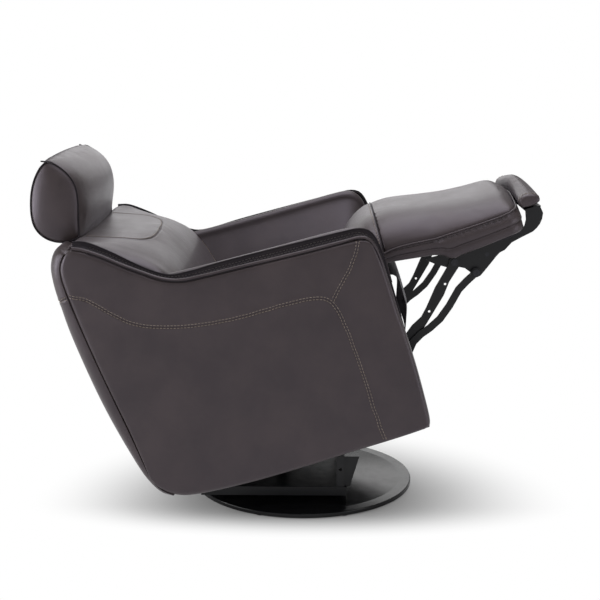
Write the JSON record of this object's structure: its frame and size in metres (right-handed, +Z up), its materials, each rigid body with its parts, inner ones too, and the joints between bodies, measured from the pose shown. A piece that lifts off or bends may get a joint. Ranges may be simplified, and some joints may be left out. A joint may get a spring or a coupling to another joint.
{
  "type": "recliner armchair",
  "caption": "Leather swivel recliner armchair with a raised footrest on steel links, a tilting seat shell, a hinged headrest and a round base disc.",
  "frame": {"origin": "centre of the base disc on the floor, where the swivel axis meets it", "axes": "+Z up, -Y towards the front of the chair, +X towards the sitter's left; at rest the chair is reclined with its footrest out"},
  "size_m": [0.8752, 1.3904, 0.9959],
  "materials": {
    "leather_cushion": "satin",
    "leather_skin": "satin",
    "leather_shell": "satin",
    "lining_cloth": "matte",
    "webbing": "matte",
    "timber": "matte",
    "painted_steel": "satin",
    "base_metal": "satin",
    "zinc_steel": "satin",
    "bearing_steel": "satin",
    "rubber_black": "matte",
    "black_plastic": "satin",
    "button_plastic": "satin"
  },
  "bodies": {
    "base": {"base_disc": "base_metal", "base_glides": "rubber_black", "lower_bearing_race": "bearing_steel", "bearing_balls": "bearing_steel", "swivel_bolt": "zinc_steel"},
    "swivel": {"upper_bearing_race": "bearing_steel", "swivel_plate": "painted_steel", "frame_rails": "painted_steel", "frame_cross_tubes": "painted_steel", "front_posts": "painted_steel", "stop_buffers": "rubber_black", "tilt_brackets": "painted_steel", "tilt_pins": "zinc_steel", "actuator_foot": "painted_steel", "power_inlet": "black_plastic"},
    "seat_body": {"seat_plate_left": "painted_steel", "seat_plate_right": "painted_steel", "seat_cross_tubes": "painted_steel", "footrest_motor": "black_plastic", "seat_timber": "timber", "seat_webbing": "webbing", "seat_cushion": "leather_cushion", "seat_bridge": "leather_cushion", "front_flap": "lining_cloth", "side_panel_left": "leather_skin", "side_panel_right": "leather_skin", "side_boards": "timber", "arm_liner_left": "leather_cushion", "arm_liner_right": "leather_cushion", "arm_facings": "leather_cushion", "wing_liners": "leather_cushion", "back_cushion": "leather_cushion", "outer_back": "leather_shell", "back_posts": "timber", "back_top_rail": "timber", "headrest_hinge_mounts": "painted_steel", "headrest_pin": "zinc_steel", "control_panel": "black_plastic", "arm_welts": "leather_skin"},
    "headrest": {"headrest_brackets": "painted_steel", "headrest_cushion": "leather_cushion"},
    "carrier": {"carrier_links": "painted_steel", "torque_tube": "painted_steel", "crank_arm": "painted_steel", "carrier_rivets": "zinc_steel"},
    "long_links": {"long_link_left": "painted_steel", "long_link_right": "painted_steel"},
    "short_links": {"short_link_left": "painted_steel", "short_link_right": "painted_steel"},
    "footrest": {"footrest_board": "timber", "footrest_cushion": "leather_cushion", "footrest_brackets": "painted_steel", "footrest_rivets": "zinc_steel"},
    "flipper": {"flipper_bracket": "painted_steel", "foot_pad": "leather_cushion"},
    "tilt_motor": {"tilt_motor": "black_plastic"},
    "tilt_rod": {"tilt_rod": "zinc_steel"},
    "footrest_rod": {"footrest_rod": "zinc_steel"},
    "button_recline": {"button_recline": "button_plastic"},
    "button_raise": {"button_raise": "button_plastic"}
  },
  "joints": [
    {"name": "seat_swivel", "type": "hinge", "parent": "base", "child": "swivel", "pos_m": [0, 0, 0.0385], "axis": [0, 0, 1], "continuous": true},
    {"name": "recline", "type": "hinge", "parent": "swivel", "child": "seat_body", "pos_m": [0, 0.262, 0.12], "axis": [1, 0, 0], "range_deg": [0, 15.5]},
    {"name": "headrest_tilt", "type": "hinge", "parent": "seat_body", "child": "headrest", "pos_m": [0, 0.6256, 0.76648], "axis": [1, 0, 0], "range_deg": [-25, 0]},
    {"name": "footrest_fold", "type": "hinge", "parent": "seat_body", "child": "carrier", "pos_m": [0, -0.06886, 0.45888], "axis": [1, 0, 0], "range_deg": [0, 80]},
    {"name": "long_link_pivot", "type": "hinge", "parent": "carrier", "child": "long_links", "pos_m": [0, -0.23321, 0.48371], "axis": [1, 0, 0], "range_deg": [-70.5, 0.5]},
    {"name": "short_link_pivot", "type": "hinge", "parent": "carrier", "child": "short_links", "pos_m": [0, -0.29262, 0.45659], "axis": [1, 0, 0], "range_deg": [-70.5, 0.5]},
    {"name": "footrest_pivot", "type": "hinge", "parent": "long_links", "child": "footrest", "pos_m": [0, -0.41579, 0.71594], "axis": [1, 0, 0], "range_deg": [-0.5, 70.5]},
    {"name": "foot_pad_pivot", "type": "hinge", "parent": "footrest", "child": "flipper", "pos_m": [0, -0.50524, 0.73764], "axis": [1, 0, 0], "range_deg": [-0.5, 20.5]},
    {"name": "footrest_rod_slide", "type": "slide", "parent": "seat_body", "child": "footrest_rod", "axis": [0, 0.9636, -0.2672], "range_m": [-0.001, 0.10337]},
    {"name": "tilt_actuator_pivot", "type": "hinge", "parent": "swivel", "child": "tilt_motor", "pos_m": [0, 0.06, 0.085], "axis": [1, 0, 0], "range_deg": [-0.5, 19.5]},
    {"name": "tilt_rod_slide", "type": "slide", "parent": "tilt_motor", "child": "tilt_rod", "axis": [0, -0.4969, 0.8678], "range_m": [-0.049, 0.001]},
    {"name": "button_recline_press", "type": "slide", "parent": "seat_body", "child": "button_recline", "axis": [-0.8388, -0.1455, -0.5246], "range_m": [0, 0.0015], "stiffness_N_per_m": 300, "springref_m": -0.0015},
    {"name": "button_raise_press", "type": "slide", "parent": "seat_body", "child": "button_raise", "axis": [-0.8388, -0.1455, -0.5246], "range_m": [0, 0.0015], "stiffness_N_per_m": 300, "springref_m": -0.0015}
  ],
  "couplings": [
    {"joint": "tilt_actuator_pivot", "follows": "recline", "ratio": 1.2373},
    {"joint": "tilt_rod_slide", "follows": "recline", "m_per_rad": -0.17789},
    {"joint": "long_link_pivot", "follows": "footrest_fold", "ratio": -0.875},
    {"joint": "short_link_pivot", "follows": "footrest_fold", "ratio": -0.875},
    {"joint": "footrest_pivot", "follows": "footrest_fold", "ratio": 0.875},
    {"joint": "foot_pad_pivot", "follows": "footrest_fold", "ratio": 0.25},
    {"joint": "footrest_rod_slide", "follows": "footrest_fold", "m_per_rad": 0.073317}
  ]
}
